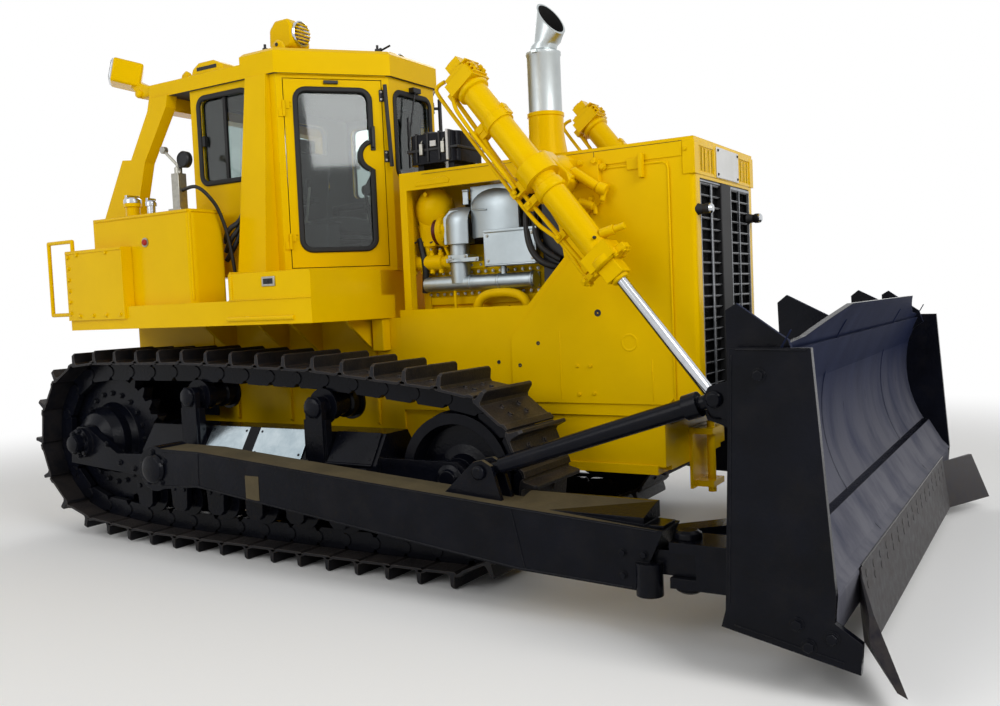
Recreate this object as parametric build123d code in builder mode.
"""Track-type bulldozer with a straight blade, modelled piece by piece.

Frame: X forward, Y to the left, Z up, the ground at Z = 0, lengths in millimetres.
X places are counted from the sprocket's axle, which lies at axle_x in the frame.
Y places are distances from the centre line, and paired pieces are made on the left
and mirrored to the right.
"""
from build123d import *
import math
import os

os.makedirs("parts", exist_ok=True)

# Reach behind the sprocket's axle, and the steps from the radiator guard to the blade's tips
hitch_reach = 850
guard_x1 = 4955
blade_gap = 685
blade_depth = 430
bit_reach = 280
blade_back_x = guard_x1 + blade_gap
blade_join_x = blade_back_x + blade_depth
blade_reach = blade_join_x + bit_reach
axle_x = -(blade_reach - hitch_reach) / 2

# Clearances: between pieces that move, round a pin, beside a curved face
move_gap = 8
pin_gap = 0.3
fit_gap = 0.3
chain_slack = 7

# Track chain
track_y = 1130
shoe_w = 600
pitch = 260
link_h = 70
shoe_t = 24
lug_h = 92
rail_w = 60
rail_space = 150
pin_z = link_h + shoe_t + lug_h

# Wheels of the track
sprocket_z = 800
sprocket_r = 564
tooth_step = 2
sprocket_w = 90
sprocket_rim = 150
idler_x = 3530
idler_r = 504
roller_r = 120
roller_flange = 22
roller_count = 7
roller_x0 = 620
roller_x1 = 3020
roller_w = 300
carrier_r = 105
carrier_w = 280
carrier_seats = [(1180, 1364), (2440, 1312)]

# Track frame
frame_x0 = 602
frame_x1 = 2960
frame_w = 500
frame_z0 = 540
frame_side_z = 750
frame_top_z = 950
frame_top_w = 240
hanger_w = 50
yoke_t = 40

# Dome over each final drive, and the frame's outer arm
dome_r = 270
dome_y = track_y + 270
dome_flat = 150
arm_plate_y = dome_y + 10
arm_plate_t = 70

# Hull: side plates, rails and the gearbox between them
hull_y = 610
plate_t = 20
hull_x0 = 450
hull_x1 = 2640
hull_z0 = 650
hull_top_z = 1720
hull_rib_xs = [900, 1500, 1850, 2400]
rail_x1 = 4700
rail_y = 490
rail_z0 = 700
rail_z1 = 1025
case_y = 475
case_x0 = -350
case_x1 = 1480
case_z0 = 560
case_z1 = 1690
axle_case_r = 400
axle_tube_r = 250

belly_z1 = hull_z0 + plate_t
# Equalizer bar across the hull
bar_x0 = 2730
bar_x1 = 2890
bar_z0 = 560
bar_z1 = 740

# Front hitch with its pull pin
hitch_plate_x1 = rail_x1 + 20
hitch_jaw = 130
pull_pin_x = hitch_plate_x1 + 80
pull_pin_r = 28

# Drawbar
drawbar_z = 620
drawbar_pin_r = 32

# Dozer hinge and push arms
hinge_x = 1200
hinge_z = 700
hinge_pin_r = 85
arm_w = 250
arm_y0 = track_y + shoe_w / 2 + 70
arm_y1 = arm_y0 + arm_w
knuckle_r = 165
tongue_z0 = 355
tongue_z1 = 485
blade_pin_x = blade_back_x - 420
blade_pin_r = 40
strut_z = 470
strut_h = 90

# Blade
blade_y = 2140
blade_top_z = 1725
blade_shoulder_z = 1590
blade_end_z = 1556
blade_join_z = 480
face_mid = (blade_back_x + 115, 1080)
face_top = (blade_back_x + 320, blade_top_z)
blade_rib_ys = [340, 1040, 1560]
blade_skin = 35
edge_y = 1600
edge_t = 42
edge_tip_x = blade_join_x + 50
edge_tip_z = 90
bit_tip_z = 85
end_plate_t = 40

# Tilt brace
brace_y = arm_y0 + 100
brace_foot = (3970, 820)
brace_head = (blade_back_x - 240, 1275)
brace_r = 52
brace_eye_r = 62

# Lift cylinders
lift_y = 930
lift_top = (4030, 2620)
lift_eye = (blade_back_x - 450, 1136)
barrel_r = 90
barrel_bore_r = 75
barrel_back = 860
barrel_front = 660
gland_len = 110
gland_w = 200
ring_r = 128
ring_w = 120
rod_r = 36
piston_x = 265
piston_len = 70
eye_r = 70
eye_w = 80
eye_bore_r = 38
lug_gap = 12
lug_plate_t = 28
stub_r = 55

# Radiator guard and hood
guard_z0 = 1030
guard_rise_x = 3735
guard_rise_z = 1776
hood_x0 = 2690
hood_cover_x0 = 3875
hood_z = 2780
hood_t = 24
louvre_z0 = 2557
louvre_ys = [270, 340, 410, 480]
louvre_w = 32
grille_y = 516
grille_z0 = 1120
grille_z1 = 2530
grille_bar = 14
grille_rows = 19

# Exhaust: heights of its painted foot, its upright pipe and its mouth
stack_x = 3610
stack_r = 130
foot_h = 405
pipe_h = 515
mouth_h = 285
muffler_z = hood_z + foot_h
stack_kink_z = muffler_z + pipe_h
stack_top_z = stack_kink_z + mouth_h

# Engine side: manifold tube and turbocharger
manifold_y = -480
turbo_y = -430

# Cab
cab_front_x = 2400
cab_front_y = 300
cab_side_x = 1830
cab_side_y = 950
cab_rear_x = 900
cab_z0 = 2090
cab_z1 = 3590
cab_wall = 50
cab_floor = 30
door_edge = 52
door_front_edge = 808
door_z0 = 2125
door_z1 = 3560
door_gap = 6
hinge_out = 14
hinge_r = 12
hinge_len = 60
hinge_zs = [2330, 3330]
light_x0, light_x1, light_z0, light_z1 = 150, 700, 2270, 3470
light_corner = 70
notch_z, notch_r = 2980, 120
glass_t = 8
roof_over = 30
roof_z = 3780
roof_step_x = 1500
roof_rear_x = 450
roof_rear_z = 3700

# Deck, boxes and tank on each fender
deck_x0 = -50
deck_rear_x = -350
deck_x1 = 2560
deck_y0 = 560
deck_y = track_y + shoe_w / 2 + 50
deck_z0 = 1720
deck_z1 = 1895
step_x0 = 1780
step_y0 = 720
step_z = 2085
tank_x0 = 200
tank_x1 = 1330
tank_y0 = cab_side_y + 110
tank_y1 = deck_y - 80
tank_z = 2600
filler_x = 480
filler_y = (tank_y0 + tank_y1) / 2
box_x1 = 650
box_z0 = 1800
box_z1 = 2360
box_plate_t = 20
rail_tube_r = 16
rail_path = [(10, box_z1 - 5), (10, 2440), (-300, 2440), (-300, 1850), (deck_x0 + 5, 1850)]

# Roll-over frame behind and beside the cab
rops_y0 = cab_side_y - 50
rops_t = 100


def side(y):
    """Upright plane along the machine: its x runs forward and its y runs up."""
    return Plane(origin=(axle_x, y, 0), x_dir=(1, 0, 0), z_dir=(0, -1, 0))


def across(x):
    """Upright plane across the machine: its x runs to the left and its y runs up."""
    return Plane(origin=(axle_x + x, 0, 0), x_dir=(0, 1, 0), z_dir=(1, 0, 0))


def level(z):
    """Flat plane at a height: its x runs forward and its y runs to the left."""
    return Plane(origin=(axle_x, 0, z))


def outline(plane, points):
    """Flat face inside the closed line through the points."""
    with BuildSketch(plane) as face:
        with BuildLine():
            Polyline(*points, close=True)
        make_face()
    return face.sketch


def slab(plane, points, thick, mode=Mode.ADD):
    """Slab of that outline, centred on its plane."""
    extrude(outline(plane, points), amount=thick / 2, both=True, mode=mode)


def plate(y0, y1, points, mode=Mode.ADD):
    """Slab between two Y places, its outline seen from the side as (x, z)."""
    slab(side((y0 + y1) / 2), points, abs(y1 - y0), mode)


def block(x0, x1, y0, y1, z0, z1, mode=Mode.ADD):
    """Box between three pairs of faces."""
    middle = (axle_x + (x0 + x1) / 2, (y0 + y1) / 2, (z0 + z1) / 2)
    with Locations(middle):
        Box(x1 - x0, y1 - y0, z1 - z0, mode=mode)


def side_block(s, x0, x1, y0, y1, z0, z1, mode=Mode.ADD):
    """Box on the side of the machine that s names, its Y places counted outward."""
    block(x0, x1, *sorted((s * y0, s * y1)), z0, z1, mode)


def bar(start, end, radius, mode=Mode.ADD):
    """Round bar between two places (x, y, z)."""
    a = Vector(*start) + Vector(axle_x, 0, 0)
    b = Vector(*end) + Vector(axle_x, 0, 0)
    with BuildSketch(Plane(origin=a, z_dir=b - a)) as circle:
        Circle(radius)
    extrude(circle.sketch, amount=(b - a).length, mode=mode)


def turned(x, z, points, mode=Mode.ADD):
    """Round form about a line across the machine, its half section given as (y, radius)."""
    plane = Plane(origin=(axle_x + x, 0, z), x_dir=(0, 1, 0), z_dir=(1, 0, 0))
    revolve(outline(plane, points), axis=Axis(plane.origin, (0, 1, 0)), mode=mode)


def save(name, part):
    """Label a finished piece and write it."""
    part.label = name
    export_step(part, f"parts/{name}.step")


def save_pair(name, part):
    """Write a piece made on the left, and its mirror image on the right."""
    save(f"{name}_left", part)
    with BuildPart() as twin:
        mirror(part, about=Plane.XZ)
    save(f"{name}_right", twin.part)


def belt(wheels):
    """Straights and arcs of a tight belt round the wheels (x, z, radius), over the top first."""
    normals = []
    for i, (x0, z0, r0) in enumerate(wheels):
        x1, z1, r1 = wheels[(i + 1) % len(wheels)]
        slope = math.atan2(z1 - z0, x1 - x0)
        normals.append(slope + math.acos((r0 - r1) / math.hypot(x1 - x0, z1 - z0)))
    spans = []
    for i, (x, z, r) in enumerate(wheels):
        turn = (normals[i - 1] - normals[i]) % (2 * math.pi)
        spans.append(("arc", x, z, r, normals[i - 1], turn, r * turn))
        x1, z1, r1 = wheels[(i + 1) % len(wheels)]
        n = normals[i]
        start = (x + r * math.cos(n), z + r * math.sin(n))
        end = (x1 + r1 * math.cos(n), z1 + r1 * math.sin(n))
        spans.append(("line", *start, *end, 0, math.dist(start, end)))
    return spans


def belt_place(spans, along):
    """Place (x, z) at a distance along the belt."""
    for kind, a, b, c, d, turn, length in spans:
        if along <= length:
            break
        along -= length
    if kind == "arc":
        angle = d - along / c
        return (a + c * math.cos(angle), b + c * math.sin(angle))
    share = along / length
    return (a + share * (c - a), b + share * (d - b))


def chain_outline(pins, steps):
    """Closed outline that repeats steps (share of a link, height over the pin line) on each link."""
    points = []
    for i, (x0, z0) in enumerate(pins):
        x1, z1 = pins[(i + 1) % len(pins)]
        dx, dz = x1 - x0, z1 - z0
        size = math.hypot(dx, dz)
        for share, height in steps:
            points.append((x0 + share * dx - height * dz / size, z0 + share * dz + height * dx / size))
    return points


# Pin line of the track: sprocket, carrier rollers, idler, first and last ground roller
roller_z = pin_z + link_h + chain_slack + roller_r
idler_z = pin_z + idler_r
carriers = [(x, z - link_h - chain_slack - carrier_r) for x, z in carrier_seats]
wheels = [(0, sprocket_z, sprocket_r)]
wheels += [(x, z, link_h + chain_slack + carrier_r) for x, z in carriers]
wheels += [(idler_x, idler_z, idler_r)]
wheels += [(x, roller_z, link_h + chain_slack + roller_r) for x in (roller_x1, roller_x0)]
spans = belt(wheels)
belt_length = sum(span[-1] for span in spans)
link_count = round(belt_length / pitch)
pins = [belt_place(spans, belt_length * i / link_count) for i in range(link_count)]

# Track: a band of shoes with one lug each, on two link rails
shoe_top = link_h + shoe_t
lug_tip = shoe_top + lug_h
shoe_steps = [(0.07, shoe_top), (0.10, lug_tip), (0.19, lug_tip), (0.24, shoe_top), (0.98, shoe_top)]
rail_steps = [(0.1, -link_h), (0.9, -link_h), (0.98, -0.6 * link_h)]
rail_mid = (rail_space + rail_w) / 2
with BuildPart() as track:
    plate(track_y - shoe_w / 2, track_y + shoe_w / 2, chain_outline(pins, shoe_steps))
    plate(track_y - shoe_w / 2, track_y + shoe_w / 2, chain_outline(pins, [(0.5, link_h)]), Mode.SUBTRACT)
    for rail_place in (-rail_mid, rail_mid):
        with BuildSketch(side(track_y + rail_place)) as rail:
            add(outline(Plane.XY, chain_outline(pins, [(0.5, link_h + shoe_t / 2)])))
            add(outline(Plane.XY, chain_outline(pins, rail_steps)), mode=Mode.SUBTRACT)
        extrude(rail.sketch, amount=rail_w / 2, both=True)
save_pair("track", track.part)

# Sprocket: toothed rim between the rails, disc, and the dome of the final drive
tooth_count = round(tooth_step * 2 * math.pi * sprocket_r / pitch)
tooth_steps = [(0.0, -48), (0.22, -48), (0.42, 22), (0.58, 22), (0.78, -48)]
tooth_pins = [(sprocket_r * math.cos(-2 * math.pi * i / tooth_count),
               sprocket_z + sprocket_r * math.sin(-2 * math.pi * i / tooth_count))
              for i in range(tooth_count)]
rim_inner = sprocket_r - sprocket_rim
disc_y = track_y + 30
with BuildPart() as sprocket:
    plate(track_y - sprocket_w / 2, track_y + sprocket_w / 2, chain_outline(tooth_pins, tooth_steps))
    with BuildSketch(side(track_y)) as hole:
        with Locations((0, sprocket_z)):
            Circle(rim_inner)
    extrude(hole.sketch, amount=sprocket_w, both=True, mode=Mode.SUBTRACT)
    turned(0, sprocket_z, [
        (track_y - sprocket_w / 2, 0), (track_y - sprocket_w / 2, axle_tube_r - 20),
        (disc_y - 25, axle_tube_r + 40), (disc_y - 25, rim_inner + 12), (disc_y + 15, rim_inner + 12),
        (disc_y + 15, dome_r + 30), (disc_y + 60, dome_r), (dome_y - 110, dome_r),
        (dome_y - 40, dome_r - 45), (dome_y, dome_flat), (dome_y, 0)])
save_pair("sprocket", sprocket.part)

# Idler with a raised centre that runs between the rails
idler_rim = math.sqrt(idler_r ** 2 - (pitch / 2) ** 2) - link_h - fit_gap
with BuildPart() as idler:
    turned(idler_x, idler_z, [
        (track_y - 110, 0), (track_y - 110, 120), (track_y - 45, 140), (track_y - 30, 200),
        (track_y - 30, idler_rim - 90), (track_y - 150, idler_rim - 70), (track_y - 150, idler_rim),
        (track_y - 68, idler_rim), (track_y - 60, idler_rim + 18), (track_y + 60, idler_rim + 18),
        (track_y + 68, idler_rim), (track_y + 150, idler_rim), (track_y + 150, idler_rim - 70),
        (track_y + 30, idler_rim - 90), (track_y + 30, 200), (track_y + 45, 140),
        (track_y + 110, 120), (track_y + 110, 0)])
save_pair("idler", idler.part)

# Ground rollers and carrier rollers, each flanged outside the rails
roller_xs = [roller_x0 + i * (roller_x1 - roller_x0) / (roller_count - 1) for i in range(roller_count)]
rail_edge = rail_mid + rail_w / 2 + 4


def roller(x, z, r, half_w):
    """Roller with an inner and an outer flange and a cap at each end."""
    tread = r - fit_gap
    flange = r + roller_flange
    section = [(-half_w - 50, 0), (-half_w - 50, 62), (-half_w, 70), (-half_w, flange), (-rail_edge, flange),
               (-rail_edge, tread), (-60, tread), (-50, tread - 20)]
    section += [(-y, radius) for y, radius in reversed(section)]
    turned(x, z, [(track_y + y, radius) for y, radius in section])


with BuildPart() as rollers:
    for x in roller_xs:
        roller(x, roller_z, roller_r, roller_w / 2 + 15)
    for x, z in carriers:
        roller(x, z, carrier_r, carrier_w / 2 + 20)
save_pair("rollers", rollers.part)

# Track frame: box with sloped cover, roller hangers, idler yoke, carrier posts, outer arm and hinge pin
frame_half = [(frame_w / 2, frame_z0), (frame_w / 2, frame_side_z), (frame_top_w / 2, frame_top_z)]
frame_section = frame_half + [(-y, z) for y, z in reversed(frame_half)]
hanger_y = roller_w / 2 + 15 + 50
with BuildPart() as track_frame:
    slab(across((frame_x0 + frame_x1) / 2), [(track_y + y, z) for y, z in frame_section],
         frame_x1 - frame_x0)
    for x in roller_xs:
        for y in (track_y - hanger_y - hanger_w, track_y + hanger_y):
            plate(y, y + hanger_w, [
                (x - 95, frame_z0 + 30), (x - 80, roller_z - 50), (x - 45, roller_z - 85),
                (x + 45, roller_z - 85), (x + 80, roller_z - 50), (x + 95, frame_z0 + 30)])
    for y in (track_y - 165 - yoke_t, track_y + 165):
        plate(y, y + yoke_t, [(frame_x1 - 60, frame_z0 + 60), (idler_x + 60, idler_z - 110),
                              (idler_x + 130, idler_z - 50), (idler_x + 130, idler_z + 50),
                              (idler_x + 60, idler_z + 110), (frame_x1 - 60, frame_side_z + 50)])
    for y in (track_y - 165, track_y + 110 + fit_gap):
        block(idler_x - 55, idler_x + 55, y, y + 55, idler_z - 55, idler_z + 55)
    for x, z in carriers:
        block(x - 110, x + 90, track_y + 180, track_y + 240, frame_side_z - 60, z - 85)
        post_y = track_y + carrier_w / 2 + 70
        plate(post_y, post_y + 50, [(x - 75, frame_side_z), (x - 75, z + 40), (x - 40, z + 75),
                                    (x + 40, z + 75), (x + 75, z + 40), (x + 75, frame_side_z)])
    plate(arm_plate_y, arm_plate_y + arm_plate_t, [
        (-170, sprocket_z - 170), (980, frame_z0 + 10), (980, frame_side_z), (420, frame_side_z - 20),
        (120, sprocket_z + 90), (60, sprocket_z + 130), (-60, sprocket_z + 130), (-150, sprocket_z + 60)])
    turned(0, sprocket_z, [(dome_y, 0), (dome_y, 130), (arm_plate_y + 110, 120),
                           (arm_plate_y + 110, 75), (arm_plate_y + 170, 70), (arm_plate_y + 170, 0)])
    block(640, 1000, track_y + frame_w / 2 - 10, arm_plate_y + 20, frame_z0 + 20, frame_side_z - 20)
    plate(track_y + frame_w / 2 - 10, arm_y0 - move_gap, [
        (hinge_x - 200, hinge_z - 140), (hinge_x + 220, hinge_z - 130), (hinge_x + 220, hinge_z + 40),
        (hinge_x + 120, hinge_z + 110), (hinge_x - 120, hinge_z + 110), (hinge_x - 200, hinge_z + 40)])
    cap_y = arm_y1 + move_gap
    turned(hinge_x, hinge_z, [
        (arm_y0 - 20, 0), (arm_y0 - 20, hinge_pin_r), (cap_y, hinge_pin_r),
        (cap_y, hinge_pin_r + 25), (cap_y + 22, hinge_pin_r + 15), (cap_y + 22, 0)])
save_pair("track_frame", track_frame.part)

# Hull: side plates with ribs, two rails to the front, cross members and the equalizer bar
with BuildPart() as main_frame:
    for s in (-1, 1):
        plate(s * (hull_y - plate_t), s * hull_y, [
            (hull_x0, hull_z0 + 250), (hull_x0 + 200, hull_z0), (hull_x1, hull_z0),
            (hull_x1, hull_top_z), (hull_x0, hull_top_z)])
        side_block(s, hull_x1 - 400, rail_x1, rail_y, hull_y - plate_t, rail_z0, rail_z1)
        for x in hull_rib_xs:
            slab(across(x), [(s * (hull_y - 5), hull_z0 + 250), (s * (hull_y + 26), hull_z0 + 280),
                             (s * (hull_y + 26), hull_top_z - 250), (s * (hull_y + 330), hull_top_z - 20),
                             (s * (hull_y + 330), hull_top_z), (s * (hull_y - 5), hull_top_z)], 24)
    block(hull_x0, hull_x1, -hull_y + 5, hull_y - 5, hull_top_z - plate_t, hull_top_z)
    block(bar_x0, bar_x1, frame_w / 2 - track_y, track_y - frame_w / 2, bar_z0, bar_z1)
    block(1700, 1780, plate_t - hull_y - 5, hull_y - plate_t + 5, belly_z1, rail_z1 - 60)
    for x in (3000, 4620):
        block(x, x + 80, -rail_y - 5, rail_y + 5, belly_z1, rail_z1 - 60)
    for s in (-1, 1):
        side_block(s, hull_x1, rail_x1 - 50, rail_y - 10, hull_y - 5, belly_z1, rail_z0 + 10)
save("main_frame", main_frame.part)

# Belly guard: flat plates under the hull and the engine, on each side of the equalizer bar
with BuildPart() as belly_guard:
    block(case_x1 + 60, hull_x1, plate_t - hull_y, hull_y - plate_t, hull_z0, belly_z1)
    block(hull_x1, rail_x1 - 50, 5 - hull_y, hull_y - 5, hull_z0, belly_z1)
    block(bar_x0, bar_x1, -hull_y, hull_y, bar_z0, bar_z1, Mode.SUBTRACT)
save("belly_guard", belly_guard.part)

# Front hitch: plate on the frame's front with two jaws and their pull pin
with BuildPart() as front_hitch:
    block(rail_x1, hitch_plate_x1, -160, 160, 480, 900)
    for z in (490, 850):
        block(hitch_plate_x1 - 5, hitch_plate_x1 + hitch_jaw, -110, 110, z, z + 40)
    bar((pull_pin_x, 0, 440), (pull_pin_x, 0, 930), pull_pin_r)
save("front_hitch", front_hitch.part)

# Gearbox and steering case with the axle housings, and the drawbar below it
with BuildPart() as rear_case:
    plate(-case_y, case_y, [
        (case_x0, case_z0 + 200), (case_x0 + 140, case_z0), (case_x1, case_z0 + 90), (case_x1, case_z1 - 260),
        (900, case_z1 - 160), (760, case_z1), (case_x0 + 120, case_z1), (case_x0, case_z1 - 200)])
    for z in (1050, 1340):
        block(case_x0 - 24, case_x0 + 10, -case_y + 60, case_y - 60, z, z + 30)
    block(case_x0 - 40, case_x0 + 10, -260, 260, 980, 1560)
    for s in (-1, 1):
        turned(0, sprocket_z, [
            (s * (case_y - 20), 0), (s * (case_y - 20), axle_case_r), (s * (hull_y + 20), axle_case_r),
            (s * (hull_y + 50), axle_case_r - 30), (s * (hull_y + 150), axle_tube_r + 60),
            (s * (track_y - 150), axle_tube_r), (s * (track_y - sprocket_w / 2), axle_tube_r - 30),
            (s * (track_y - sprocket_w / 2), 0)])
        side_block(s, 520, 760, case_y - 10, hull_y - plate_t, 900, 1300)
save("rear_case", rear_case.part)

# Drawbar: clevis of two plates with a bore for the tow pin
with BuildPart() as drawbar:
    block(case_x0 - 60, case_x0, -210, 210, drawbar_z - 90, drawbar_z + 330)
    for z in (drawbar_z - 75, drawbar_z + 75):
        with BuildSketch(level(z)) as jaw:
            with BuildLine():
                Polyline((-hitch_reach + 90, -90), (case_x0 - 30, -190), (case_x0 - 30, 190),
                         (-hitch_reach + 90, 90))
                ThreePointArc((-hitch_reach + 90, 90), (-hitch_reach, 0), (-hitch_reach + 90, -90))
            make_face()
            with Locations((-hitch_reach + 95, 0)):
                Circle(drawbar_pin_r, mode=Mode.SUBTRACT)
        extrude(jaw.sketch, amount=25, both=True)
    block(case_x0 - 230, case_x0 - 30, -40, 40, drawbar_z - 60, drawbar_z + 60)
save("drawbar", drawbar.part)

# Push arm: knuckle round the hinge pin, tapering box, tongue and pin for the blade, brace bracket
arm_mid = (arm_y0 + arm_y1) / 2
with BuildPart() as push_arm:
    plate(arm_y0, arm_y1, [
        (hinge_x, hinge_z - 150), (1640, 590), (4250, 295), (blade_pin_x - 240, 265),
        (blade_pin_x - 90, 595), (4200, 655), (3150, 731), (1670, 845), (hinge_x, hinge_z + 150)])
    turned(hinge_x, hinge_z, [(arm_y0, 0), (arm_y0, knuckle_r), (arm_y1, knuckle_r), (arm_y1, 0)])
    turned(hinge_x, hinge_z, [(arm_y0 - 10, 0), (arm_y0 - 10, hinge_pin_r + pin_gap),
                              (arm_y1 + 10, hinge_pin_r + pin_gap), (arm_y1 + 10, 0)], Mode.SUBTRACT)
    slab(across(blade_pin_x - 620), [
        (arm_y0 - 40, 600), (arm_y1 - 60, 600), (arm_y1 - 60, 640), (arm_y0 - 10, 690),
        (arm_y0 - 40, 690)], 800)
    block(blade_pin_x - 220, blade_pin_x + 80, arm_y0 + 45, arm_y1 - 45, tongue_z0, tongue_z1)
    bar((blade_pin_x, arm_mid, 250), (blade_pin_x, arm_mid, 580), blade_pin_r)
    bar((blade_pin_x - 180, arm_y1 - 20, 245), (blade_pin_x - 180, arm_y1 - 20, 420), 72)
    for y in (brace_y - 75, brace_y + 45):
        plate(y, y + 30, [(3700, 670), (4120, 640), (4050, brace_foot[1] + 40),
                          (brace_foot[0] + 20, brace_foot[1] + 72), (brace_foot[0] - 40, brace_foot[1] + 60)])
    slab(level(strut_z), [
        (blade_pin_x - 440, arm_y0 + 5), (blade_pin_x - 240, arm_y0 + 5),
        (blade_back_x, 850), (blade_back_x, 700), (blade_back_x - 70, 700)], strut_h)
save_pair("push_arm", push_arm.part)

# Tilt brace: tube with screwed ends and an eye at each end
foot = Vector(brace_foot[0], brace_y, brace_foot[1])
head = Vector(brace_head[0], brace_y, brace_head[1])
reach = head - foot
along = reach.normalized()
with BuildPart() as brace:
    bar(foot + along * 40, head - along * 40, brace_r - 14)
    bar(foot + along * 120, head - along * 150, brace_r)
    bar(head - along * 190, head - along * 110, brace_r + 16)
    for x, z in (brace_foot, brace_head):
        turned(x, z, [(brace_y - 45, 0), (brace_y - 45, brace_eye_r),
                      (brace_y + 45, brace_eye_r), (brace_y + 45, 0)])
save_pair("brace", brace.part)

# Blade: curved face, box beams and ribs behind, end plates, brackets for arms, braces and cylinders
back = blade_back_x
with BuildPart() as blade:
    with BuildSketch(side(0)) as skin:
        with BuildLine():
            ThreePointArc((blade_join_x, blade_join_z), face_mid, face_top)
            Line(face_top, (face_top[0] - blade_skin, blade_top_z))
            ThreePointArc((face_top[0] - blade_skin, blade_top_z), (face_mid[0] - blade_skin, face_mid[1]),
                          (blade_join_x - blade_skin, blade_join_z - 30))
            Line((blade_join_x - blade_skin, blade_join_z - 30), (blade_join_x, blade_join_z))
        make_face()
    extrude(skin.sketch, amount=blade_y - end_plate_t / 2, both=True)
    plate(-blade_y + 20, blade_y - 20, [
        (back, 330), (blade_join_x - 8, 300), (blade_join_x - 8, 455), (back + 280, 700), (back, 760)])
    plate(-blade_y + 20, blade_y - 20, [
        (back, 1290), (back + 110, 1290), (back + 220, 1540), (back, 1500)])
    for y in [-y for y in blade_rib_ys] + blade_rib_ys:
        plate(y - 15, y + 15, [(back, 740), (back + 140, 740), (back + 100, 1300), (back, 1300)])
    slab(across(back + 260), [
        (-blade_y - 50, blade_end_z), (-1700, blade_shoulder_z), (-1050, blade_top_z),
        (1050, blade_top_z), (1700, blade_shoulder_z), (blade_y + 50, blade_end_z),
        (blade_y + 50, blade_top_z + 60), (-blade_y - 50, blade_top_z + 60)], 400, Mode.SUBTRACT)
    for s in (-1, 1):
        plate(s * (blade_y - end_plate_t), s * blade_y, [
            (back - 82, 283), (blade_join_x + 95, 155), (blade_join_x + 105, 290), (blade_join_x - 10, 367),
            (blade_join_x, blade_join_z), (back + 348, 1559), (back - 11, 1563), (back - 60, 362)])
        plate(s * (blade_y - 120), s * (blade_y - 90), [
            (back - 50, 1280), (back + 260, 1500), (back + 230, 1590), (back, 1760), (back - 50, 1730)])
        plate(s * 985, s * 1015, [
            (back - 80, 1400), (back + 120, 1400), (back + 220, 1640), (back - 40, 1780), (back - 90, 1740)])
        side_block(s, blade_pin_x - 60, back + 20, arm_y0, arm_y1, 300, 540)
        side_block(s, blade_pin_x - 120, blade_pin_x + 80 + fit_gap, arm_y0 - 5, arm_y1 + 5,
                   tongue_z0 - fit_gap, tongue_z1 + fit_gap, Mode.SUBTRACT)
        bar((blade_pin_x, s * arm_mid, 200), (blade_pin_x, s * arm_mid, 700), blade_pin_r + fit_gap,
            Mode.SUBTRACT)
        for y in (s * (brace_y - 60), s * (brace_y + 60)):
            plate(y - 15, y + 15, [
                (back + 10, 1420), (brace_head[0] - 30, brace_head[1] + 65),
                (brace_head[0] - 65, brace_head[1]), (brace_head[0] - 30, brace_head[1] - 65),
                (back + 10, 1080)])
        for shift in (-1, 1):
            y = s * (lift_y + shift * (eye_w / 2 + lug_gap + lug_plate_t / 2))
            plate(y - lug_plate_t / 2, y + lug_plate_t / 2, [
                (back + 100, 1430), (lift_eye[0] + 20, lift_eye[1] + 85),
                (lift_eye[0] - 60, lift_eye[1] + 60), (lift_eye[0] - 85, lift_eye[1]),
                (lift_eye[0] - 60, lift_eye[1] - 60),
                (lift_eye[0] + 20, lift_eye[1] - 85), (back + 100, 800)])
save("blade", blade.part)

# Cutting edge with the two end bits that turn forward
with BuildPart() as cutting_edge:
    plate(-edge_y, edge_y, [(blade_join_x, blade_join_z - 2), (edge_tip_x, edge_tip_z),
                            (edge_tip_x - edge_t, edge_tip_z + 20), (blade_join_x - 8, 299),
                            (blade_join_x - 8, blade_join_z - 9)])
    for s in (-1, 1):
        root = outline(side(s * edge_y), [
            (blade_join_x + 1, 440), (edge_tip_x, edge_tip_z), (edge_tip_x - edge_t, edge_tip_z + 20),
            (blade_join_x - 6, 298), (blade_join_x - 6, 440)])
        tip = outline(side(s * blade_y), [
            (blade_reach - 125, 420), (blade_reach, bit_tip_z), (blade_reach - edge_t, bit_tip_z + 20),
            (blade_reach - 148, 298), (blade_reach - 148, 420)])
        loft(sections=[root.face(), tip.face()])
save("cutting_edge", cutting_edge.part)
print("links", link_count, "belt", round(belt_length), "pitch", round(belt_length / link_count, 1))

# Lift cylinder: barrel in a trunnion ring, and a rod with an eye; its own plane has x along the rod
rod_dx, rod_dz = lift_eye[0] - lift_top[0], lift_eye[1] - lift_top[1]
rod_len = math.hypot(rod_dx, rod_dz)
cylinder_plane = Plane(origin=(axle_x + lift_top[0], lift_y, lift_top[1]),
                       x_dir=(rod_dx / rod_len, 0, rod_dz / rod_len), z_dir=(0, -1, 0))
cylinder_axis = Axis(cylinder_plane.origin, cylinder_plane.x_dir)


def spun(points, mode=Mode.ADD):
    """Round form about the cylinder's axis, its half section given as (distance along, radius)."""
    revolve(outline(cylinder_plane, points), axis=cylinder_axis, mode=mode)


def boss(along0, along1, beside0, beside1, wide):
    """Box on the cylinder: from and to along its axis, from and to beside it, and its width."""
    slab(cylinder_plane, [(along0, beside0), (along1, beside0), (along1, beside1), (along0, beside1)], wide)


def pipe_run(start, end, radius):
    """Round bar in the cylinder's plane between two places (along, beside)."""
    a = cylinder_plane.from_local_coords(Vector(*start, 0))
    b = cylinder_plane.from_local_coords(Vector(*end, 0))
    with BuildSketch(Plane(origin=a, z_dir=b - a)) as circle:
        Circle(radius)
    extrude(circle.sketch, amount=(b - a).length)


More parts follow.
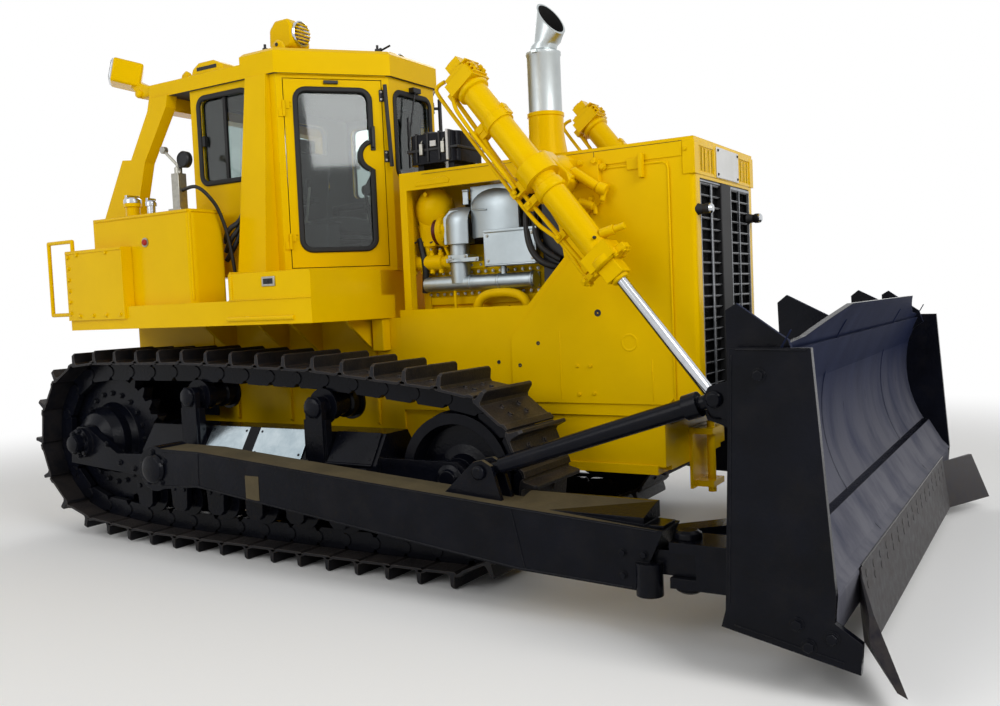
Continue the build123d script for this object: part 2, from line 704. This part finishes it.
gland_end = barrel_front + gland_len
head_end = -barrel_back
boss_y0 = lift_y - 178
with BuildPart() as lift_barrel:
    spun([(head_end, 0), (head_end, barrel_r), (gland_end - 20, barrel_r), (gland_end - 20, 0)])
    spun([(-ring_w / 2, 0), (-ring_w / 2, ring_r), (ring_w / 2, ring_r), (ring_w / 2, 0)])
    boss(barrel_front, gland_end, -gland_w / 2, gland_w / 2, gland_w)
    boss(head_end, head_end + 90, -105, 105, 210)
    boss(head_end - 40, head_end + 10, -85, 85, 170)
    boss(head_end - 120, head_end - 30, -40, 70, 110)
    boss(head_end + 20, head_end + 75, -155, -90, 70)
    boss(-470, -430, -165, 110, 70)
    spun([(-480, 0), (-480, barrel_r + 12), (-420, barrel_r + 12), (-420, 0)])
    boss(-40, 40, -190, -100, 90)
    boss(barrel_front + 10, barrel_front + 60, -150, -90, 60)
    pipe_run((head_end + 50, -135), (0, -165), 15)
    pipe_run((0, -165), (barrel_front + 35, -130), 15)
    turned(*lift_top, [(boss_y0, 0), (boss_y0, stub_r + 30), (lift_y - 95, stub_r + 30), (lift_y - 95, 0)])
    turned(*lift_top, [(boss_y0 - 10, 0), (boss_y0 - 10, stub_r + pin_gap),
                       (lift_y - 108, stub_r + pin_gap), (lift_y - 108, 0)], Mode.SUBTRACT)
    spun([(head_end + 70, 0), (head_end + 70, barrel_bore_r), (barrel_front - 10, barrel_bore_r),
          (barrel_front - 10, rod_r + 1), (gland_end + 10, rod_r + 1), (gland_end + 10, 0)], Mode.SUBTRACT)
save_pair("lift_barrel", lift_barrel.part)

with BuildPart() as lift_rod:
    spun([(piston_x, 0), (piston_x, barrel_bore_r - 0.5), (piston_x + piston_len, barrel_bore_r - 0.5),
          (piston_x + piston_len, rod_r), (rod_len - 30, rod_r), (rod_len - 30, 0)])
    turned(*lift_eye, [(lift_y - eye_w / 2, 0), (lift_y - eye_w / 2, eye_r),
                       (lift_y + eye_w / 2, eye_r), (lift_y + eye_w / 2, 0)])
    spun([(rod_len - 110, 0), (rod_len - 110, rod_r + 3), (rod_len - 40, rod_r + 8), (rod_len - 40, 0)])
    turned(*lift_eye, [(lift_y - eye_w, 0), (lift_y - eye_w, eye_bore_r), (lift_y + eye_w, eye_bore_r),
                       (lift_y + eye_w, 0)], Mode.SUBTRACT)
save_pair("lift_rod", lift_rod.part)

# Radiator guard: two side plates, front frame with upright slots, and the cylinders' bearing castings
with BuildPart() as radiator_guard:
    for s in (-1, 1):
        plate(s * (hull_y - plate_t), s * hull_y, [
            (hull_x1, guard_z0), (guard_x1 - 20, guard_z0), (guard_x1 - 20, hood_z - hood_t),
            (hood_cover_x0, hood_z - hood_t), (hood_cover_x0, 2500), (4000, 2300), (4033, 2087),
            (guard_rise_x, guard_rise_z), (hull_x1, guard_rise_z)])
        plate(s * (hull_y - 2), s * (hull_y + 12), [
            (3600, 1300), (3600, 1109), (4740, 1109), (4788, 1157), (4788, 2640), (hood_cover_x0 + 60, 2640),
            (hood_cover_x0 + 60, 2500), (4060, 2300), (4085, 2070), (3790, 1760), (3600, 1560)])
        plate(s * (hull_y - 5), s * (hull_y + 45), [
            (4150, 2300), (4330, 2420), (4330, 2700), (3960, 2730), (3900, 2560), (3960, 2400)])
        turned(*lift_top, [
            (s * hull_y, 0), (s * hull_y, 150), (s * (hull_y + 70), 120), (s * (boss_y0 - 10), 90),
            (s * (boss_y0 - 10), stub_r), (s * (lift_y - 112), stub_r), (s * (lift_y - 112), 0)])
    block(guard_x1 - 40, guard_x1, -hull_y, hull_y, guard_z0, hood_z - hood_t)
    block(guard_x1 - 50, guard_x1 + 10, -grille_y, grille_y, grille_z0, grille_z1, Mode.SUBTRACT)
    for y in louvre_ys:
        for s in (-1, 1):
            side_block(s, guard_x1 - 60, guard_x1 + 20, y - louvre_w / 2, y + louvre_w / 2,
                       louvre_z0 + 20, hood_z - 60, Mode.SUBTRACT)
save("radiator_guard", radiator_guard.part)

# Grille: two framed panels of level bars
grille_row = (grille_z1 - grille_z0 - 60) / grille_rows
grille_col = (grille_y - 90) / 2
with BuildPart() as grille:
    block(guard_x1 - 32, guard_x1 - 6, 12, grille_y - fit_gap, grille_z0 + fit_gap, grille_z1 - fit_gap)
    for column in range(2):
        y = 42 + column * (grille_col + 14)
        for row in range(grille_rows):
            z = grille_z0 + 30 + row * grille_row + grille_bar / 2
            block(guard_x1 - 40, guard_x1, y, y + grille_col, z, z + grille_row - grille_bar, Mode.SUBTRACT)
save_pair("grille", grille.part)

with BuildPart() as radiator_core:
    block(4560, guard_x1 - 42, -540, 540, rail_z1, 2640)
    block(4300, 4562, -420, 420, 1250, 2400)
save("radiator_core", radiator_core.part)

# Hood: top plate with side bands, rear posts and the wall behind the engine
with BuildPart() as hood:
    block(hood_x0, guard_x1, -hull_y, hull_y, hood_z - hood_t, hood_z)
    for s in (-1, 1):
        side_block(s, hood_x0, hood_cover_x0 - 1, hull_y - plate_t, hull_y, 2650, hood_z - hood_t + 2)
        side_block(s, hood_x0, hood_x0 + 62, hull_y - 70, hull_y, guard_rise_z, 2655)
    block(hood_x0, hood_x0 + 20, -hull_y + 5, hull_y - 5, 2150, hood_z - 5)
save("hood", hood.part)

# Exhaust: flared foot and silencer, upper pipe, and a mouth cut to face forward
with BuildPart() as exhaust_stack:
    silencer = [(0, hood_z), (stack_r + 30, hood_z), (stack_r + 30, hood_z + 20), (stack_r, hood_z + 90),
                (stack_r, muffler_z), (stack_r - 6, muffler_z), (stack_r - 6, stack_kink_z - 60),
                (stack_r - 32, stack_kink_z - 40), (stack_r - 32, stack_kink_z), (0, stack_kink_z)]
    revolve(outline(side(0), [(stack_x + r, z) for r, z in silencer]),
            axis=Axis((axle_x + stack_x, 0, 0), (0, 0, 1)))
    bar((stack_x - 6, 0, stack_kink_z - 40), (stack_x + 95, 0, stack_top_z + 60), stack_r - 34)
    bar((stack_x + 20, 0, stack_kink_z + 60), (stack_x + 110, 0, stack_top_z + 120), stack_r - 42,
        Mode.SUBTRACT)
    plate(-300, 300, [
        (stack_x - 300, stack_top_z), (stack_x - 20, stack_top_z), (stack_x + 40, stack_top_z - 25),
        (stack_x + 190, stack_kink_z + 70), (stack_x + 500, stack_kink_z + 70),
        (stack_x + 500, stack_top_z + 400), (stack_x - 300, stack_top_z + 400)], Mode.SUBTRACT)
save("exhaust_stack", exhaust_stack.part)

# Air cleaner box on two feet
with BuildPart() as air_cleaner:
    block(2750, 3180, -560, -190, 2835, 3050)
    fillet(air_cleaner.edges().filter_by(Axis.Z), radius=60)
    for x in (2830, 3100):
        block(x - 25, x + 25, -520, -230, hood_z, 2840)
save("air_cleaner", air_cleaner.part)

# Engine: block with sump, heads and covers, timing case and fan shroud ring
with BuildPart() as engine_block:
    plate(-250, 250, [(2760, 1500), (2900, 1000), (3900, 1000), (4020, 1300), (4020, 1900), (2760, 1900)])
    for s in (-1, 1):
        slab(across(3370), [(s * 40, 1700), (s * 400, 1700), (s * 400, 2060), (s * 300, 2240),
                            (s * 120, 2180)], 1160)
    block(2740, 2800, -430, 430, 1420, 2140)
    for x in (2950, 3850):
        block(x - 60, x + 60, -560, 560, rail_z1, rail_z1 + 60)
    turned(2850, 1500, [(-380, 0), (-380, 90), (380, 90), (380, 0)])
save("engine_block", engine_block.part)

# Turbocharger on the engine's right, with its joint to the exhaust elbow
with BuildPart() as turbocharger:
    turned(2865, 2515, [(turbo_y - 60, 0), (turbo_y - 60, 95), (turbo_y - 20, 140), (turbo_y + 60, 140),
                        (turbo_y + 100, 90), (turbo_y + 100, 0)])
    bar((2900, turbo_y - 20, 2345), (3025, turbo_y - 20, 2345), 80)
    bar((2955, turbo_y - 20, 2345), (2985, turbo_y - 20, 2345), 115)
    plate(turbo_y - 60, turbo_y + 60, [(2790, 2240), (2900, 2240), (2960, 2420), (2760, 2480)])
save("turbocharger", turbocharger.part)

# Manifold tube, elbow to the turbocharger and two heat shields
with BuildPart() as manifold:
    bar((2810, manifold_y, 1955), (3740, manifold_y, 1955), 55)
    for x in range(2880, 3740, 160):
        bar((x, manifold_y, 1965), (x, -400, 1965), 38)
    bar((3115, manifold_y, 1955), (3115, manifold_y, 2240), 72)
    plate(manifold_y - 65, manifold_y + 70, [
        (3025, 2240), (3200, 2240), (3200, 2420), (3150, 2480), (3080, 2480), (3025, 2430)])
    plate(manifold_y - 20, manifold_y, [(3240, 2640), (3620, 2640), (3640, 2260), (3400, 2260), (3240, 2380)])
    plate(manifold_y - 65, manifold_y - 50, [(3380, 2310), (3760, 2310), (3780, 2070), (3400, 2070)])
    block(3380, 3780, manifold_y - 55, manifold_y + 40, 2300, 2316)
    bar((3480, manifold_y, 1990), (3480, manifold_y, 2305), 22)
save("manifold", manifold.part)

# Fender deck with step box, cover box and handrail
with BuildPart() as deck:
    with BuildSketch(level(deck_z0)) as plan:
        with BuildLine():
            Polyline((deck_rear_x, deck_y0), (deck_x1, deck_y0), (deck_x1, deck_y), (deck_x0, deck_y),
                     (deck_x0, tank_y0), (deck_rear_x, tank_y0), close=True)
        make_face()
    extrude(plan.sketch, amount=deck_z1 - deck_z0)
    block(deck_x0 + 20, deck_x1 - 20, 1000, deck_y - 20, deck_z0 - 1, deck_z1 - 20, Mode.SUBTRACT)
    block(step_x0, deck_x1, step_y0, deck_y, deck_z1 - 5, step_z)
    block(deck_x0, box_x1, deck_y - 5, deck_y + box_plate_t, box_z0, box_z1)
    block(deck_x0, box_x1, tank_y1 + 1, deck_y, deck_z1 - 5, box_z1)
    block(deck_x0, tank_x0 - 1, tank_y0, deck_y, deck_z1 - 5, box_z1)
    for (x0, z0), (x1, z1) in zip(rail_path, rail_path[1:]):
        bar((x0, deck_y - 10, z0), (x1, deck_y - 10, z1), rail_tube_r)
    for x, z in rail_path[1:-1]:
        with Locations((axle_x + x, deck_y - 10, z)):
            Sphere(rail_tube_r)
save_pair("deck", deck.part)

# Tank on each fender with filler neck
with BuildPart() as tank:
    block(tank_x0, tank_x1, tank_y0, tank_y1, deck_z1, tank_z)
    fillet(tank.edges().filter_by(Axis.Z).sort_by(Axis.X)[-2:], radius=50)
    bar((filler_x, filler_y, tank_z - 5), (filler_x, filler_y, tank_z + 95), 55)
    bar((filler_x, filler_y, tank_z + 90), (filler_x, filler_y, tank_z + 130), 68)
save_pair("tank", tank.part)

# Cab: walls round a hollow, with openings for doors and windows, on a base with the floor
wall_dx, wall_dy = cab_front_x - cab_side_x, cab_front_y - cab_side_y
wall_len = math.hypot(wall_dx, wall_dy)
cab_plan = [(cab_front_x, -cab_front_y), (cab_front_x, cab_front_y), (cab_side_x, cab_side_y),
            (cab_rear_x, cab_side_y), (cab_rear_x, -cab_side_y), (cab_side_x, -cab_side_y)]


def door_wall(s, depth):
    """Plane in the slanted wall of one side, some depth inside it: x forward along it, y up."""
    shift = depth / wall_len
    return Plane(origin=(axle_x + cab_side_x + wall_dy * shift, s * (cab_side_y - wall_dx * shift), 0),
                 x_dir=(wall_dx, s * wall_dy, 0), z_dir=(s * wall_dy, -wall_dx, 0))


def door_outline(shrink):
    """Outline of the doorway in the slanted wall, drawn in by some amount all round."""
    x0, x1 = door_edge + shrink, door_front_edge - shrink
    z0, z1 = door_z0 + shrink, door_z1 - shrink
    return [(x0, z0), (x1, z0), (x1, z1), (x0, z1)]


def pane(plane, x0, x1, y0, y1, corner, thick, mode=Mode.ADD):
    """Slab with rounded corners, centred on its plane."""
    with BuildSketch(plane) as shape:
        with Locations(((x0 + x1) / 2, (y0 + y1) / 2)):
            RectangleRounded(x1 - x0, y1 - y0, corner)
    extrude(shape.sketch, amount=thick / 2, both=True, mode=mode)


def hinge_half(s, z0, z1, leaf_x0, leaf_x1):
    """Knuckle of a door hinge, with its leaf on the wall's outer face."""
    with BuildSketch(door_wall(s, 0)) as leaf:
        with Locations(((leaf_x0 + leaf_x1) / 2, (z0 + z1) / 2)):
            Rectangle(leaf_x1 - leaf_x0, z1 - z0)
    extrude(leaf.sketch, amount=-s * hinge_out * 0.6)
    foot = door_wall(s, -hinge_out).from_local_coords(Vector(hinge_x0, z0, 0))
    with BuildSketch(Plane(origin=foot, z_dir=(0, 0, 1))) as circle:
        Circle(hinge_r)
    extrude(circle.sketch, amount=z1 - z0)


hinge_x0 = door_edge + door_gap / 2
# windows: plane, x from, x to, y from, y to, corner radius
side_windows = [(side(s * (cab_side_y - cab_wall / 2)), 1000, 1530, 2850, 3510, 60) for s in (-1, 1)]
end_windows = [(across(cab_front_x - cab_wall / 2), -230, 230, 2830, 3480, 60),
               (across(cab_rear_x + cab_wall / 2), -620, 620, 2880, 3500, 60)]
floor_z1 = cab_z0 + cab_floor
with BuildPart() as walls:
    with BuildSketch(level(floor_z1)) as plan:
        add(outline(Plane.XY, cab_plan))
    extrude(plan.sketch, amount=cab_z1 - floor_z1)
    with BuildSketch(level(floor_z1)) as room:
        add(outline(Plane.XY, cab_plan))
        offset(amount=-cab_wall, mode=Mode.REPLACE)
    extrude(room.sketch, amount=cab_z1 - cab_z0, mode=Mode.SUBTRACT)
    for s in (-1, 1):
        slab(door_wall(s, cab_wall / 2), door_outline(0), 3 * cab_wall, Mode.SUBTRACT)
    for window in side_windows + end_windows:
        pane(*window, 2 * cab_wall, Mode.SUBTRACT)
    for s in (-1, 1):
        for z in hinge_zs:
            hinge_half(s, z - hinge_len, z - fit_gap, hinge_x0 - 42, hinge_x0 - 4)
with BuildPart() as cab_front:
    add(walls.part)
    split(bisect_by=across(cab_side_x), keep=Keep.TOP)
save("cab_front", cab_front.part)
with BuildPart() as cab_shell:
    add(walls.part)
    split(bisect_by=across(cab_side_x), keep=Keep.BOTTOM)
save("cab_shell", cab_shell.part)

# Base that carries the cab between the two decks, with the cab's floor
with BuildPart() as cab_base:
    block(cab_rear_x, cab_front_x - 20, -deck_y0 + 5, deck_y0 - 5, hull_top_z, cab_z0)
    with BuildSketch(level(cab_z0)) as floor:
        add(outline(Plane.XY, cab_plan))
    extrude(floor.sketch, amount=cab_floor)
save("cab_base", cab_base.part)

with BuildPart() as cab_glass:
    for plane, x0, x1, y0, y1, corner in side_windows + end_windows:
        pane(plane, x0 + fit_gap, x1 - fit_gap, y0 + fit_gap, y1 - fit_gap, corner, glass_t)
save("cab_glass", cab_glass.part)

# Door in the slanted wall, hinged at its rear edge, with a notched window
def door_light(shrink, thick, mode=Mode.ADD):
    """Door window with a round notch in its front edge for the handle."""
    with BuildSketch(door_wall(1, cab_wall / 2)) as shape:
        with Locations(((light_x0 + light_x1) / 2, (light_z0 + light_z1) / 2)):
            RectangleRounded(light_x1 - light_x0 - 2 * shrink, light_z1 - light_z0 - 2 * shrink,
                             light_corner)
        with Locations((light_x1 + 20, notch_z)):
            Circle(notch_r + shrink, mode=Mode.SUBTRACT)
    extrude(shape.sketch, amount=thick / 2, both=True, mode=mode)


with BuildPart() as cab_door:
    slab(door_wall(1, cab_wall / 2), door_outline(door_gap), cab_wall)
    door_light(0, 2 * cab_wall, Mode.SUBTRACT)
    for z in hinge_zs:
        hinge_half(1, z, z + hinge_len, hinge_x0 + 4, hinge_x0 + 42)
save_pair("cab_door", cab_door.part)

with BuildPart() as door_glass:
    door_light(fit_gap, glass_t)
save_pair("door_glass", door_glass.part)

# Cab roof: thick front part over the cab, thinner plate reaching back to the rear legs
with BuildPart() as cab_roof:
    with BuildSketch(level(cab_z1)) as plan:
        add(outline(Plane.XY, [
            (cab_front_x + roof_over, -cab_front_y - 12), (cab_front_x + roof_over, cab_front_y + 12),
            (cab_side_x + 18, cab_side_y + roof_over), (roof_step_x, cab_side_y + roof_over),
            (roof_step_x, -cab_side_y - roof_over), (cab_side_x + 18, -cab_side_y - roof_over)]))
    extrude(plan.sketch, amount=roof_z - cab_z1)
    chamfer(cab_roof.faces().sort_by(Axis.Z)[-1].edges(), length=25)
    block(roof_rear_x, roof_step_x + 1, -cab_side_y - roof_over, cab_side_y + roof_over, cab_z1, roof_rear_z)
save("cab_roof", cab_roof.part)

# Roll-over frame: a tapering post beside the cab, and a slanted rear leg with gusset and cross beam
with BuildPart() as rops_post:
    with BuildSketch(level(deck_z1)) as foot_plan:
        add(outline(Plane.XY, [(1470, 950), (1772, 950), (1772, 1110), (1470, 1110)]))
    with BuildSketch(level(cab_z1)) as head_plan:
        add(outline(Plane.XY, [(1560, 950), (1772, 950), (1772, 990), (1560, 990)]))
    loft(sections=[foot_plan.sketch.face(), head_plan.sketch.face()])
save_pair("rops_post", rops_post.part)

with BuildPart() as rops_frame:
    for s in (-1, 1):
        plate(s * rops_y0, s * (rops_y0 + rops_t), [
            (-330, deck_z1), (-330, 2420), (90, 3130), (200, 3120), (440, 3490), (470, cab_z1), (690, cab_z1),
            (670, 3500), (370, 3080), (250, 2700), (190, 2350), (190, deck_z1)])
    block(480, 640, -rops_y0 - 20, rops_y0 + 20, 3480, cab_z1)
save("rops_frame", rops_frame.part)

# Lamps on the roof
with BuildPart() as lamps:
    for s in (-1, 1):
        block(1600, 1830, s * 600 - 115, s * 600 + 115, 3830, 4060)
        block(1650, 1780, s * 600 - 60, s * 600 + 60, roof_z, 3835)
        block(0, 240, s * 900 - 100, s * 900 + 100, roof_rear_z - 60, 3960)
        block(235, roof_rear_x, s * 900 - 60, s * 900 + 60, roof_rear_z - 60, roof_rear_z - 10)
save("lamps", lamps.part)

# Seat and console inside the cab
with BuildPart() as seat:
    block(1300, 1650, -200, 200, cab_z0 + cab_floor, 2420)
    block(1230, 1760, -260, 260, 2415, 2540)
    plate(-250, 250, [(1180, 2500), (1310, 2535), (1270, 3180), (1160, 3180)])
    for s in (-1, 1):
        block(1230, 1650, s * 320 - 50, s * 320 + 50, 2640, 2700)
        block(1240, 1290, s * 300 - 50, s * 300 + 40, 2480, 2650)
save("seat", seat.part)

with BuildPart() as console:
    floor_z = cab_z0 + cab_floor
    plate(-220, 220, [(2140, floor_z), (2320, floor_z), (2320, 2700), (2240, 2760), (2140, 2700)])
    for s in (-1, 1):
        bar((2070, s * 120, floor_z + 20), (1970, s * 120, 2750), 14)
        block(2040, 2150, s * 120 - 30, s * 120 + 30, floor_z, floor_z + 60)
save("console", console.part)
